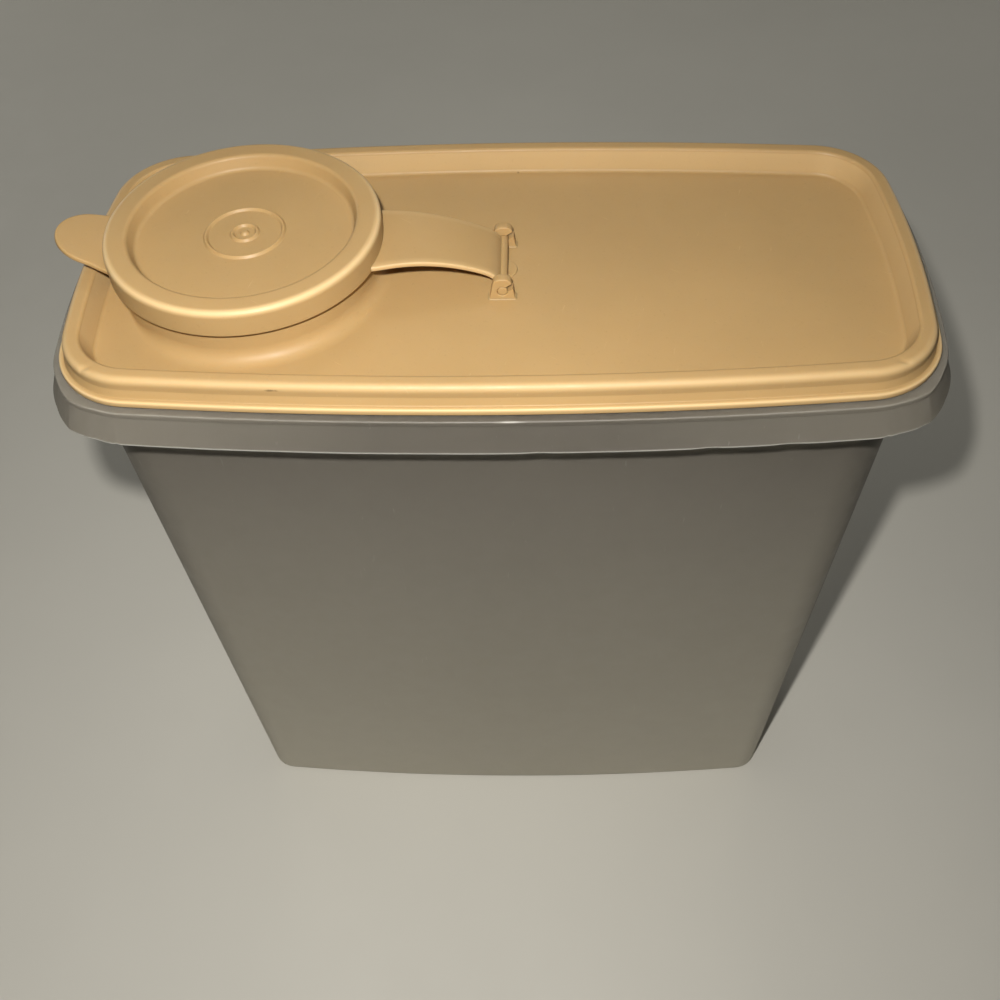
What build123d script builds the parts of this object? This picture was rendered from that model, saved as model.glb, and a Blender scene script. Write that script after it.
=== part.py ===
from build123d import *
import os
from math import atan, degrees, radians, tan

# Tall food keeper with a lift-off lid and a flip seal over its pour spout, in millimetres.
# The origin is the centre of the base, on the surface it stands on. X runs along the keeper's length, with
# the spout on the -X side, Y across its width and Z up.

# Plan outline of the lid's lip. Every other outline is this one, moved in or out.
lid_length = 241.0
lid_width = 114.0
corner_radius = 24.0
side_bow = 6.3
end_bow = 5.6

# Container
ledge_top = 239.9
ledge_thickness = 1.7
ledge_overhang = 2.1
skirt_drop = 7.6
skirt_flare = 3.1
skirt_wall = 1.4
body_wall = 1.5
body_draft = 2.0
mouth_step = 1.7
base_thickness = 1.9
base_edge_radius = 1.3
cavity_edge_radius = 2.0
upstand_height = 6.5
upstand_wall = 1.4
ledge_edge_radius = 0.5
upstand_edge_radius = 0.45

# Lid
lip_gap = 0.3
lip_width = 2.3
lip_thickness = 1.9
lip_edge_radius = 0.7
lid_wall = 1.3
lid_fit_gap = 0.35
lid_seat_gap = 0.2
rim_width = 4.7
rim_outer_radius = 2.0
rim_inner_radius = 1.1
recess_depth = 6.9
recess_run = 2.2
panel_thickness = 1.3
panel_edge_radius = 1.2

# Pour spout
spout_x = -70.2
spout_radius = 36.6
spout_wall = 1.4
spout_height = 16.6
spout_draft = 2.2
spout_rim_radius = 0.4

# Flip seal
seal_skirt_gap = 1.25
seal_plug_gap = 1.3
seal_wall = 1.3
seal_skirt_height = 7.8
seal_skirt_lean = 0.2
seal_rim_radius = 1.8
seal_lip_radius = 1.2
seal_floor_depth = 4.1
seal_floor_run = 1.4
seal_floor_edge_radius = 1.3
seal_top_thickness = 1.4
seal_seat_gap = 0.2
ring_radius = 11.4
ring_width = 1.3
ring_height = 0.35
inner_ring_radius = 3.7
inner_ring_width = 1.0
centre_dot_radius = 0.8

# Lifting tab
tab_reach = 14.4
tab_tip_radius = 10.4
tab_side_angle = 100.0
tab_root_half_width = 14.2
tab_thickness = 1.5
tab_slope = 18.5

# Strap and hinge
strap_thickness = 1.5
strap_seal_half_width = 13.6
strap_middle_half_width = 11.2
strap_neck_half_width = 9.9
strap_neck_length = 5.2
strap_rise_radius = 30.0
strap_rise_angle = 4.6
strap_knee_run = 3.3
strap_knee_rise = 3.1
hinge_x = 1.8
hinge_height = 2.75
rod_radius = 1.4
rod_fit_gap = 0.06
rod_end_inset = 0.2
ear_side_gap = 0.3
ear_thickness = 2.8
ear_height = 6.9
ear_foot_width = 7.5
ear_top_width = 5.0
ear_corner_radius = 2.3
ear_slot_width = 1.9
ear_slot_angle = 40.0
pad_radius = 3.9
pad_height = 0.4

# Centres of the outline's arcs. All the outlines share them.
half_length = lid_length / 2
half_width = lid_width / 2
side_radius = (half_length**2 + side_bow**2) / (2 * side_bow)
end_radius = (half_width**2 + end_bow**2) / (2 * end_bow)
side_centre = Vector(0, half_width - side_radius)
end_centre = Vector(half_length - end_radius, 0)
centre_line = end_centre - side_centre
side_reach = side_radius - corner_radius
end_reach = end_radius - corner_radius
along = (centre_line.length**2 + side_reach**2 - end_reach**2) / (2 * centre_line.length)
across = (side_reach**2 - along**2) ** 0.5
corner_centre = side_centre + centre_line.normalized() * along
corner_centre += centre_line.normalized().rotate(Axis.Z, -90) * across
side_tangent = (corner_centre - side_centre).normalized()
end_tangent = (corner_centre - end_centre).normalized()
diagonal = (side_tangent + end_tangent).normalized()

# Insets from the lip's outline, and heights
lid_wall_inset = lip_width
channel_outer_inset = lid_wall_inset + lid_wall
upstand_inset = channel_outer_inset + lid_fit_gap
channel_inner_inset = upstand_inset + upstand_wall + lid_fit_gap
body_inset = upstand_inset + mouth_step
base_inset = body_inset + ledge_top * tan(radians(body_draft))
cavity_inset = base_inset + body_wall - base_thickness * tan(radians(body_draft))
ledge_inset = -ledge_overhang
recess_inset = lid_wall_inset + rim_width
ledge_bottom = ledge_top - ledge_thickness
skirt_bottom = ledge_bottom - skirt_drop
upstand_top = ledge_top + upstand_height
lip_bottom = ledge_top + lip_gap
channel_top = upstand_top + lid_seat_gap
rim_top = channel_top + lid_wall
panel_top = rim_top - recess_depth
panel_bottom = panel_top - panel_thickness
panel_middle = panel_top - panel_thickness / 2
plug_foot_inset = channel_inner_inset + (channel_top - panel_bottom) * recess_run / recess_depth
spout_top = panel_top + spout_height
seal_ceiling = spout_top + seal_seat_gap
seal_top = seal_ceiling + seal_top_thickness
seal_bottom = seal_top - seal_skirt_height
seal_floor = seal_top - seal_floor_depth
hinge_z = panel_top + hinge_height

# Seal's radii, from the spout that it closes
spout_top_radius = spout_radius - (spout_top - panel_bottom) * tan(radians(spout_draft))
spout_skirt_radius = spout_radius - (seal_bottom - panel_bottom) * tan(radians(spout_draft))
seal_radius = spout_skirt_radius + seal_skirt_gap + seal_wall
seal_rim_inner = spout_top_radius - spout_wall - seal_plug_gap - seal_wall
seal_floor_radius = seal_rim_inner - seal_floor_run
skirt_middle_radius = seal_radius - seal_wall / 2

# Hinge ears
ear_inner_y = strap_neck_half_width + ear_side_gap
ear_outer_y = ear_inner_y + ear_thickness


def plan(height, inset):
    """Face of the outline, moved in by inset, at a height: bowed sides and ends, tangent corner arcs."""
    radius = corner_radius - inset
    side_end = corner_centre + side_tangent * radius
    corner_middle = corner_centre + diagonal * radius
    end_start = corner_centre + end_tangent * radius
    with BuildSketch(Plane.XY.offset(height)) as outline:
        with BuildLine():
            for sign in (1, -1):
                ThreePointArc(
                    (-side_end.X, sign * side_end.Y),
                    (0, sign * (half_width - inset)),
                    (side_end.X, sign * side_end.Y),
                )
                ThreePointArc(
                    (sign * end_start.X, -end_start.Y),
                    (sign * (half_length - inset), 0),
                    (sign * end_start.X, end_start.Y),
                )
                for across_sign in (1, -1):
                    ThreePointArc(
                        (sign * side_end.X, across_sign * side_end.Y),
                        (sign * corner_middle.X, across_sign * corner_middle.Y),
                        (sign * end_start.X, across_sign * end_start.Y),
                    )
        make_face()
    return outline.sketch


def sloped(low, low_inset, high, high_inset, mode=Mode.ADD):
    """Solid between two heights, whose walls lean evenly from one inset to the other."""
    loft([plan(low, low_inset).face(), plan(high, high_inset).face()], ruled=True, mode=mode)


def edges_at(part, height):
    """Edges of a part that lie flat at a height."""
    return part.edges().filter_by_position(Axis.Z, height - 0.01, height + 0.01)


def hole_edges(part):
    """Edges of the opening in a part's highest face."""
    return part.faces().sort_by(Axis.Z)[-1].inner_wires()[0].edges()


os.makedirs("parts", exist_ok=True)

# Inside of the container: the walls' draft, with a rounded edge round the floor
with BuildPart() as cavity:
    sloped(base_thickness, cavity_inset, ledge_top, body_inset + body_wall)
    fillet(edges_at(cavity, base_thickness), radius=cavity_edge_radius)

# Container: skirt, ledge, tapered body and upstand
with BuildPart() as container:
    sloped(skirt_bottom, ledge_inset - skirt_flare, ledge_bottom, ledge_inset)
    sloped(
        skirt_bottom,
        ledge_inset - skirt_flare + skirt_wall,
        ledge_bottom,
        ledge_inset + skirt_wall,
        mode=Mode.SUBTRACT,
    )
    extrude(plan(ledge_bottom, ledge_inset), amount=ledge_thickness)
    fillet(edges_at(container, ledge_top), radius=ledge_edge_radius)
    sloped(0, base_inset, ledge_top, body_inset)
    fillet(edges_at(container, 0), radius=base_edge_radius)
    extrude(plan(ledge_top, upstand_inset), amount=upstand_height)
    extrude(
        plan(ledge_top, upstand_inset + upstand_wall),
        amount=upstand_height,
        mode=Mode.SUBTRACT,
    )
    add(cavity.part, mode=Mode.SUBTRACT)
    fillet(edges_at(container, upstand_top), radius=upstand_edge_radius)

# Space in the lid that takes the container's upstand
with BuildPart() as channel:
    extrude(plan(lip_bottom, channel_outer_inset), amount=channel_top - lip_bottom)
    sloped(panel_bottom, plug_foot_inset, channel_top, channel_inner_inset, mode=Mode.SUBTRACT)

# Sunk space over the lid's panel, with a rounded edge where its side meets the panel
with BuildPart() as recess:
    sloped(panel_top, recess_inset + recess_run, rim_top, recess_inset)
    fillet(edges_at(recess, panel_top), radius=panel_edge_radius)

# One hinge ear's face, seen from the front, with its slotted hole for the rod
with BuildSketch(Plane.XZ.offset(ear_outer_y)) as ear_face:
    with Locations((hinge_x, panel_middle)):
        Trapezoid(
            ear_foot_width,
            panel_top + ear_height - panel_middle,
            degrees(atan(2 * ear_height / (ear_foot_width - ear_top_width))),
            align=(Align.CENTER, Align.MIN),
        )
    fillet(ear_face.vertices().group_by(Axis.Y)[-1], radius=ear_corner_radius)
    with Locations((hinge_x, hinge_z)):
        Circle(rod_radius + rod_fit_gap, mode=Mode.SUBTRACT)
        Rectangle(
            ear_foot_width,
            ear_slot_width,
            rotation=ear_slot_angle,
            align=(Align.MIN, Align.CENTER),
            mode=Mode.SUBTRACT,
        )
with BuildPart() as ear:
    extrude(ear_face.sketch, amount=-ear_thickness)

# Lip round the lid's foot
with BuildPart() as lip:
    extrude(plan(lip_bottom, 0), amount=lip_thickness)
    fillet(edges_at(lip, lip_bottom + lip_thickness), radius=lip_edge_radius)

# Lid: shell with its lip, recess and panel, then the spout, the hinge ears and the pad
with BuildPart() as lid:
    extrude(plan(lip_bottom, lid_wall_inset), amount=rim_top - lip_bottom)
    fillet(edges_at(lid, rim_top), radius=rim_outer_radius)
    add(lip.part)
    add(channel.part, mode=Mode.SUBTRACT)
    sloped(panel_bottom, plug_foot_inset, channel_top, channel_inner_inset)
    add(recess.part, mode=Mode.SUBTRACT)
    fillet(hole_edges(lid), radius=rim_inner_radius)
    with BuildSketch(Plane.XY.offset(panel_middle)):
        with Locations((hinge_x, 0)):
            Circle(pad_radius)
    extrude(amount=panel_top + pad_height - panel_middle)
    with BuildSketch(Plane.XY.offset(panel_bottom)):
        with Locations((spout_x, 0)):
            Circle(spout_radius)
    extrude(amount=spout_top - panel_bottom, taper=spout_draft)
    with BuildSketch(Plane.XY.offset(panel_bottom)):
        with Locations((spout_x, 0)):
            Circle(spout_radius - spout_wall)
    extrude(amount=spout_top - panel_bottom, taper=spout_draft, mode=Mode.SUBTRACT)
    fillet(edges_at(lid, spout_top), radius=spout_rim_radius)
    add(ear.part)
    mirror(ear.part, about=Plane.XZ)

# Strap: level where it leaves the seal, arched over to the hinge and turned down to the rod
strap_z = seal_bottom + strap_thickness / 2
strap_root_x = spout_x + (skirt_middle_radius**2 - strap_seal_half_width**2) ** 0.5 - seal_wall
strap_start_x = spout_x + seal_radius - seal_wall
strap_neck_x = hinge_x - strap_neck_length
with BuildSketch(Plane.XZ.offset(strap_seal_half_width)) as strap_side:
    with BuildLine():
        root = Line((strap_root_x, strap_z), (strap_start_x, strap_z))
        rise = JernArc(root @ 1, root % 1, strap_rise_radius, strap_rise_angle)
        arch = TangentArc(
            rise @ 1,
            (hinge_x - strap_knee_run, hinge_z + strap_knee_rise),
            tangent=rise % 1,
        )
        TangentArc(arch @ 1, (hinge_x, hinge_z), tangent=arch % 1)
    trace(line_width=strap_thickness)
with BuildSketch(Plane.XY.offset(panel_top)) as strap_plan:
    with BuildLine():
        for side in (1, -1):
            ThreePointArc(
                (strap_root_x, side * strap_seal_half_width),
                ((strap_root_x + strap_neck_x) / 2, side * strap_middle_half_width),
                (strap_neck_x, side * strap_neck_half_width),
            )
            Line((strap_neck_x, side * strap_neck_half_width), (hinge_x, side * strap_neck_half_width))
        for x, half in ((strap_root_x, strap_seal_half_width), (hinge_x, strap_neck_half_width)):
            Line((x, -half), (x, half))
    make_face()
    with Locations((spout_x, 0)):
        Circle(skirt_middle_radius, mode=Mode.SUBTRACT)
with BuildPart() as strap:
    extrude(strap_side.sketch, amount=-2 * strap_seal_half_width)
    extrude(strap_plan.sketch, amount=seal_top - panel_top, mode=Mode.INTERSECT)

# Lifting tab: a plate that leaves the skirt's foot and slopes up to a rounded tip
tab_tip_x = spout_x - seal_radius - tab_reach
tab_root_x = spout_x - (skirt_middle_radius**2 - tab_root_half_width**2) ** 0.5
tab_z = seal_bottom + tab_thickness / 2
tab_bend_x = spout_x - seal_radius
tab_rise = (tab_bend_x - tab_tip_x) * tan(radians(tab_slope))
with BuildSketch(Plane.XZ.offset(tab_root_half_width)) as tab_side:
    with BuildLine():
        Polyline(
            (tab_root_x + seal_wall, tab_z),
            (tab_bend_x, tab_z),
            (tab_tip_x - tab_thickness, tab_z + tab_rise),
        )
    trace(line_width=tab_thickness)
with BuildSketch(Plane.XY.offset(panel_top)) as tab_plan:
    with BuildLine():
        tip = CenterArc(
            (tab_tip_x + tab_tip_radius, 0),
            tab_tip_radius,
            tab_side_angle,
            360 - 2 * tab_side_angle,
        )
        upper = TangentArc(tip @ 0, (tab_root_x, tab_root_half_width), tangent=-(tip % 0))
        lower = TangentArc(tip @ 1, (tab_root_x, -tab_root_half_width), tangent=tip % 1)
        Line(upper @ 1, lower @ 1)
    make_face()
    with Locations((spout_x, 0)):
        Circle(skirt_middle_radius, mode=Mode.SUBTRACT)
with BuildPart() as tab:
    extrude(tab_side.sketch, amount=-2 * tab_root_half_width)
    extrude(tab_plan.sketch, amount=seal_top - panel_top, mode=Mode.INTERSECT)

# Flip seal: cap turned about the spout's axis, then the rings, the tab, the strap and the rod
seal_profile_plane = Plane(origin=(spout_x, 0, 0), x_dir=(1, 0, 0), z_dir=(0, -1, 0))
seal_floor_under = seal_floor - seal_wall
plug_lean = seal_floor_run / seal_floor_depth
plug_top_radius = seal_rim_inner + seal_wall - plug_lean * (seal_top - seal_ceiling)
plug_bottom_radius = plug_top_radius - plug_lean * (seal_ceiling - seal_floor_under)
with BuildPart() as flip_seal:
    with BuildSketch(seal_profile_plane) as cap_profile:
        with BuildLine():
            Polyline(
                (0, seal_floor),
                (seal_floor_radius, seal_floor),
                (seal_rim_inner, seal_top),
                (seal_radius - seal_skirt_lean, seal_top),
                (seal_radius, seal_bottom),
                (seal_radius - seal_wall, seal_bottom),
                (seal_radius - seal_wall - seal_skirt_lean, seal_ceiling),
                (plug_top_radius, seal_ceiling),
                (plug_bottom_radius, seal_floor_under),
                (0, seal_floor_under),
                close=True,
            )
        make_face()
    revolve(axis=Axis((spout_x, 0, 0), (0, 0, 1)))
    fillet(edges_at(flip_seal, seal_top).sort_by(SortBy.RADIUS)[-1], radius=seal_rim_radius)
    fillet(edges_at(flip_seal, seal_top).sort_by(SortBy.RADIUS)[0], radius=seal_lip_radius)
    fillet(edges_at(flip_seal, seal_floor), radius=seal_floor_edge_radius)
    with BuildSketch(Plane.XY.offset(seal_floor)):
        with Locations((spout_x, 0)):
            Circle(ring_radius + ring_width / 2)
            Circle(ring_radius - ring_width / 2, mode=Mode.SUBTRACT)
            Circle(inner_ring_radius + inner_ring_width / 2)
            Circle(inner_ring_radius - inner_ring_width / 2, mode=Mode.SUBTRACT)
            Circle(centre_dot_radius)
    extrude(amount=ring_height)
    add(tab.part)
    add(strap.part)
    with BuildSketch(Plane.XZ.offset(ear_outer_y - rod_end_inset)):
        with Locations((hinge_x, hinge_z)):
            Circle(rod_radius)
    extrude(amount=-2 * (ear_outer_y - rod_end_inset))

container.part.label = "container"
lid.part.label = "lid"
flip_seal.part.label = "flip_seal"

export_step(container.part, "parts/container.step")
export_step(lid.part, "parts/lid.step")
export_step(flip_seal.part, "parts/flip_seal.step")
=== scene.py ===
import math

import bmesh
import bpy
import numpy as np
from mathutils import Matrix, Vector


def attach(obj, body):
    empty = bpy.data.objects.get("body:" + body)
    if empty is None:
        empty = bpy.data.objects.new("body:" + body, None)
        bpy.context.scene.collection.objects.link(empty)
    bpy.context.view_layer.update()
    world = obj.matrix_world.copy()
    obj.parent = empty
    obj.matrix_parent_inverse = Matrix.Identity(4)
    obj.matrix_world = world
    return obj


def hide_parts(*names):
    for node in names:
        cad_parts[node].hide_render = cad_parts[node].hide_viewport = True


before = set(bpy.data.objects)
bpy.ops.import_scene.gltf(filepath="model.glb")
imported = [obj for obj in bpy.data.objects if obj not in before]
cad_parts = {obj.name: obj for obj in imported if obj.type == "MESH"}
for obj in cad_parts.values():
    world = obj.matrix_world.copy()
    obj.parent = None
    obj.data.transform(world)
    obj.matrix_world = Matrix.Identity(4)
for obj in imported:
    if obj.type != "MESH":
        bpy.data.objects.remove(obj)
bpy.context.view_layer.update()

bl_info = {
    "name": "Flip-seal food keeper",
    "version": (1, 0, 0),
    "blender": (4, 5, 0),
    "location": "3D View > Sidebar > Keeper",
    "description": "Container, lid and flip seal of a dry food keeper, with their moulded finishes",
    "category": "Add Mesh",
}

# Sizes are in millimetres, as in the part's source, and meshes are in metres.
MM = 0.001

# Outline of the lid's lip, which every other outline follows, moved in or out, and its points
HALF_LENGTH, HALF_WIDTH = 120.5, 57.0
SIDE_BOW, END_BOW, CORNER = 6.3, 5.6, 24.0
AROUND = 640

# Heights
SKIRT_BOTTOM, LEDGE_BOTTOM, LEDGE_TOP, UPSTAND_TOP = 230.6, 238.2, 239.9, 246.4
LIP_BOTTOM, LIP_TOP, CHANNEL_TOP, RIM_TOP = 240.2, 242.1, 246.6, 247.9
PANEL_TOP, PANEL_BOTTOM, FLOOR_TOP = 241.0, 239.7, 1.9
SPOUT_TOP, SEAL_CEILING, SEAL_TOP, SEAL_BOTTOM, SEAL_FLOOR = 257.6, 257.8, 259.2, 251.4, 255.1

# Insets from the lip's outline
BASE_INSET, CAVITY_INSET, BODY_INSET, MOUTH_INSET = 14.03, 15.46, 5.71, 7.15
SKIRT_INSET, LEDGE_INSET, SKIRT_WALL = -5.2, -2.1, 1.4
UPSTAND_INSET, UPSTAND_WALL = 3.95, 1.4
WALL_INSET, WALL_FOOT, CHANNEL_OUTER, CHANNEL_INNER, PLUG_FOOT = 2.3, 1.5, 3.6, 5.7, 7.9
RECESS_INSET, RECESS_FOOT = 7.0, 9.2

# Crease at the skirt's corners: its rise, the turn where it stands (degrees), its spread (radians)
CREASE_RISE, CREASE_TURN, CREASE_SPREAD = 1.0, 49.5, 0.33

# Nicks and waver of the skirt's foot, with widths in points of the outline
NICK_SEED, NICKS, NICK_LEAST, NICK_WIDTHS, FOOT_EASE = 7, 34, 0.08, (0.5, 2.4), 1.6
WAVER, WAVER_PARTS = 0.05, (5, 9, 14, 23, 31)

# Wear and painted light along the ledge's edge: its width and strength, and a painted highlight (a
# glint) on a stretch of it
LEDGE_MARK_WIDTH, LEDGE_WEAR_AND_LIGHT = 0.25, 0.15
GLINT_X, GLINT_LENGTH, PAINTED_GLINT_STRENGTH = 4.4, 2.5, 0.9

# Marks of use on the lid: a grey speck at the panel's back edge and a rubbed line on the rim
LID_MARKS = [((5.8, 47.3, 241.3), (0.45, 0.45, 0.45)), ((-56.6, -53.8, 246.2), (2.2, 1.5, 0.4))]

# Wear and painted highlight of the lid's rim, wear of its lip, painted bounce light on the recess's
# wall, and dents on the rim as (x, y, share of the full depth)
RIM_WEAR_AND_HIGHLIGHT, LIP_WEAR, RECESS_BOUNCE_LIGHT = 0.5, 0.8, 0.3
RIM_DENTS = [(-106.9, -45.9, 1.0), (104.6, -46.7, 0.7)]
DENT_LENGTH, DENT_WIDTH, DENT_ABOVE = 1.6, 0.6, 246.0

# Spout, seal, strap and hinge
SPOUT_X, SPOUT_RADIUS, SPOUT_WALL, SPOUT_DRAFT = -70.2, 36.6, 1.4, 2.2
SEAL_RADIUS, SEAL_WALL, SEAL_LEAN, RIM_INNER, FLOOR_RADIUS = 38.7, 1.3, 0.2, 31.91, 30.51
TAB_REACH, TAB_TIP, TAB_SIDE_ANGLE, TAB_ROOT, TAB_SLOPE, PLATE = 14.4, 10.4, 100.0, 14.2, 18.5, 1.5
STRAP_SEAL, STRAP_MIDDLE, STRAP_NECK, NECK_LENGTH = 13.6, 11.2, 9.9, 5.2
RISE_RADIUS, RISE_ANGLE, KNEE_RUN, KNEE_RISE = 30.0, 4.6, 4.4, 3.8
HINGE_X, HINGE_Z, ROD, ROD_FIT, ROD_END = 1.8, 243.75, 1.4, 0.06, 12.8
EAR_INNER, EAR_OUTER, EAR_TOP, EAR_FOOT, EAR_HEAD, EAR_CORNER = 10.2, 13.0, 247.9, 7.5, 5.0, 2.3
SLOT_THROAT, SLOT_MOUTH, SLOT_ANGLE, EAR_EDGE, EAR_FILLET = 1.7, 1.5, 32.0, 0.3, 0.4
PAD_RADIUS, PAD_HEIGHT = 4.0, 0.5

# Fillet at the spout's foot: beside the recess's wall, where there is little room, and elsewhere
FILLET_TIGHT, FILLET_WIDE = 0.9, 4.2

# Boss and two rings raised on the seal's disc, with half widths at a ring's top and foot
DISC_RISE, BOSS_TOP, BOSS_FOOT = 0.75, 0.75, 1.35
RING_RADII, RING_TOP, RING_FOOT = (3.5, 10.85), 0.25, 0.75

# Where painted light turns the container's plastic pale, in metres from low to high, and how far
# its wall leans
PALE_SKIRT, PAINTED_SHADOW_FILL, PAINTED_CORNER_LIGHT = (0.2285, 0.2315), (0.2155, 0.2185), (0.094, 0.1062)
WALL_LEAN = (BASE_INSET - BODY_INSET) / LEDGE_BOTTOM

# Floor, in metres: its level part, the radius of its curve and the height of its wall
STAGE_REACH, STAGE_CURVE, STAGE_HEIGHT = 1.1, 0.6, 1.6

# Camera: focal length in pixels of a frame 1000 wide, sensor (mm), angles (radians), place (metres)
FRAME_WIDTH, FOCAL_PIXELS, SENSOR = 1000, 1104.224, 36.0
CAMERA_PITCH, CAMERA_YAW, CAMERA_ROLL = 0.8854, -0.0538, -0.0478
CAMERA_PLACE = (0.0112643, -0.252124, 0.4450726)


# Outline and profiles


def outline():
    """Points and outward normals round the lip's outline, in plan.

    The outline is eight tangent arcs, so its normal turns once round. A point is its arc's centre
    plus the arc's radius along the normal. Points are shared out half by length and half by turn,
    so that the corners get more of them.
    """
    side = (HALF_LENGTH**2 + SIDE_BOW**2) / (2 * SIDE_BOW)
    end = (HALF_WIDTH**2 + END_BOW**2) / (2 * END_BOW)
    side_centre = np.array([0.0, HALF_WIDTH - side])
    end_centre = np.array([HALF_LENGTH - end, 0.0])
    between = end_centre - side_centre
    gap = np.linalg.norm(between)
    along = (gap**2 + (side - CORNER) ** 2 - (end - CORNER) ** 2) / (2 * gap)
    across = math.sqrt((side - CORNER) ** 2 - along**2)
    unit = between / gap
    corner = side_centre + unit * along + np.array([unit[1], -unit[0]]) * across
    low = math.atan2(*(corner - end_centre)[::-1])
    high = math.atan2(*(corner - side_centre)[::-1])
    turns = np.array(
        [-low, low, high, math.pi - high, math.pi - low, math.pi + low, math.pi + high]
        + [2 * math.pi - high, 2 * math.pi - low]
    )
    radii = np.array([end, CORNER, side, CORNER] * 2)
    signs = np.array([[1, 0], [1, 1], [0, 1], [-1, 1], [-1, 0], [-1, -1], [0, -1], [1, -1]])
    centres = signs * np.array([end_centre, corner, side_centre, corner] * 2)
    lengths = np.concatenate([[0], np.cumsum(np.diff(turns) * radii)])
    shares = (lengths / lengths[-1] + (turns - turns[0]) / (2 * math.pi)) / 2
    turn = np.interp(np.arange(AROUND) / AROUND, shares, turns)
    arc = np.searchsorted(turns, turn, side="right") - 1
    normals = np.stack([np.cos(turn), np.sin(turn)], 1)
    return centres[arc] + normals * radii[arc][:, None], normals


POINTS, NORMALS = outline()


def arc_points(centre, start, end, steps):
    """Points round the centre from start to end, and the angle swept."""
    first, last = start - centre, end - centre
    sweep = math.atan2(first[0] * last[1] - first[1] * last[0], first @ last)
    turn = np.linspace(0, sweep, steps)[:, None]
    side = np.array([-first[1], first[0]])
    return centre + first * np.cos(turn) + side * np.sin(turn), sweep


def rounded(corners, steps=7, longest=45.0):
    """Profile through corners given as (outward, height, radius).

    Each corner with a radius becomes an arc tangent to both of its runs. Long runs are divided, and
    have a point close to each end, so that smooth shading stays inside the arcs.
    """
    shortest, near_end, most = 1.0, 0.3, 0.2
    at = np.array([c[:2] for c in corners], float)
    rows = [at[:1]]
    for i in range(1, len(corners)):
        start = rows[-1][-1]
        if i < len(corners) - 1 and corners[i][2] > 0:
            before, after = at[i - 1] - at[i], at[i + 1] - at[i]
            before, after = before / np.linalg.norm(before), after / np.linalg.norm(after)
            half = math.acos(np.clip(before @ after, -1, 1)) / 2
            reach = corners[i][2] / math.tan(half)
            middle = (before + after) / np.linalg.norm(before + after)
            centre = at[i] + middle * corners[i][2] / math.sin(half)
            first, last = at[i] + before * reach, at[i] + after * reach
            arc, _ = arc_points(centre, first, last, steps)
        else:
            arc = at[i : i + 1]
        run = np.linalg.norm(arc[0] - start)
        if run > shortest:
            inner = min(near_end / run, most)
            cuts = np.linspace(inner, 1 - inner, 2 + int(run // longest))[:, None]
            rows.append(start + (arc[0] - start) * cuts)
        rows.append(arc)
    return np.concatenate(rows)


def ring_rows(profile):
    """Rows of a surface whose profile (outward, height) is carried round the outline.

    A point is the outline's point, moved out along the normal by the profile's outward value.
    """
    plan = POINTS[None] + NORMALS[None] * profile[:, :1, None]
    height = np.broadcast_to(profile[:, 1, None, None], (*plan.shape[:2], 1))
    return np.concatenate([plan, height], 2)


def turned_rows(profile, angles, centre_x=SPOUT_X):
    """Rows of a surface whose profile (radius, height) is turned about an upright line."""
    radius = profile[:, :1]
    x = centre_x + radius * np.cos(angles)
    y = radius * np.sin(angles)
    return np.stack([x, y, np.broadcast_to(profile[:, 1:], x.shape)], 2)


def between_rows(first, last, shares):
    """Rows that pass evenly from one row to another, at the given shares of the way."""
    shares = np.asarray(shares)[:, None, None]
    return first + (last - first) * shares


def grid_faces(rows, columns, close_rows=False, close_columns=True):
    """Four-sided faces of a grid of points that are numbered row by row."""
    i, j = np.meshgrid(
        np.arange(rows if close_rows else rows - 1),
        np.arange(columns if close_columns else columns - 1),
        indexing="ij",
    )
    down, right = (i + 1) % rows, (j + 1) % columns
    quads = [i * columns + j, i * columns + right, down * columns + right, down * columns + j]
    return np.stack(quads, -1).reshape(-1, 4)


def smooth_step(low, high, x):
    """Passes from 0 at low to 1 at high, level at both ends: 3t squared less 2t cubed."""
    t = np.clip((x - low) / (high - low), 0, 1)
    return t * t * (3 - 2 * t)


def bell(*parts):
    """Bell curve of a distance, given as its parts, each divided by the curve's width that way."""
    return np.exp(-sum(part**2 for part in parts))


class Shape:
    """Points and faces of one moulding, gathered from several surfaces."""

    def __init__(self):
        self.points, self.faces, self.marks, self.count = [], [], [], 0

    def surface(self, rows, close_rows=False, close_columns=True, mark=None):
        """Adds a grid of points, with a mark from 0 to 1 at each point, such as scuffing and
        painted light.
        """
        self.faces += (
            grid_faces(*rows.shape[:2], close_rows, close_columns) + self.count
        ).tolist()
        points = rows.reshape(-1, 3)
        self.points.append(points)
        self.marks.append(np.zeros(len(points)) if mark is None else np.ravel(mark))
        self.count += len(points)

    def tube(self, rows):
        """Adds a tube, whose rows run along it, and closes each of its ends with a flat face."""
        first, (sides, columns) = self.count, rows.shape[:2]
        self.surface(rows, close_rows=True, close_columns=False)
        around = first + np.arange(sides) * columns
        self.faces += [around.tolist(), (around + columns - 1).tolist()]

    def build(self, name, material, body, node, slot):
        """Makes the mesh in metres, closes its poles and seams, and turns its faces outwards."""
        merge, sharp = 2e-6, math.radians(35)
        mesh = bpy.data.meshes.new(name)
        mesh.from_pydata((np.concatenate(self.points) * MM).tolist(), [], self.faces)
        # The marks hold wear and painted light, which the materials turn pale
        marks = mesh.attributes.new("wear_and_painted_light", "FLOAT", "POINT")
        marks.data.foreach_set("value", np.concatenate(self.marks).astype(np.float32))
        work = bmesh.new()
        work.from_mesh(mesh)
        bmesh.ops.remove_doubles(work, verts=work.verts, dist=merge)
        bmesh.ops.recalc_face_normals(work, faces=work.faces)
        work.to_mesh(mesh)
        work.free()
        mesh.polygons.foreach_set("use_smooth", np.ones(len(mesh.polygons), bool))
        mesh.set_sharp_from_angle(angle=sharp)
        mesh.materials.append(material)
        piece = bpy.data.objects.new(name, mesh)
        bpy.context.scene.collection.objects.link(piece)
        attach(piece, body)
        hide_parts(node)


# Materials


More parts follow.
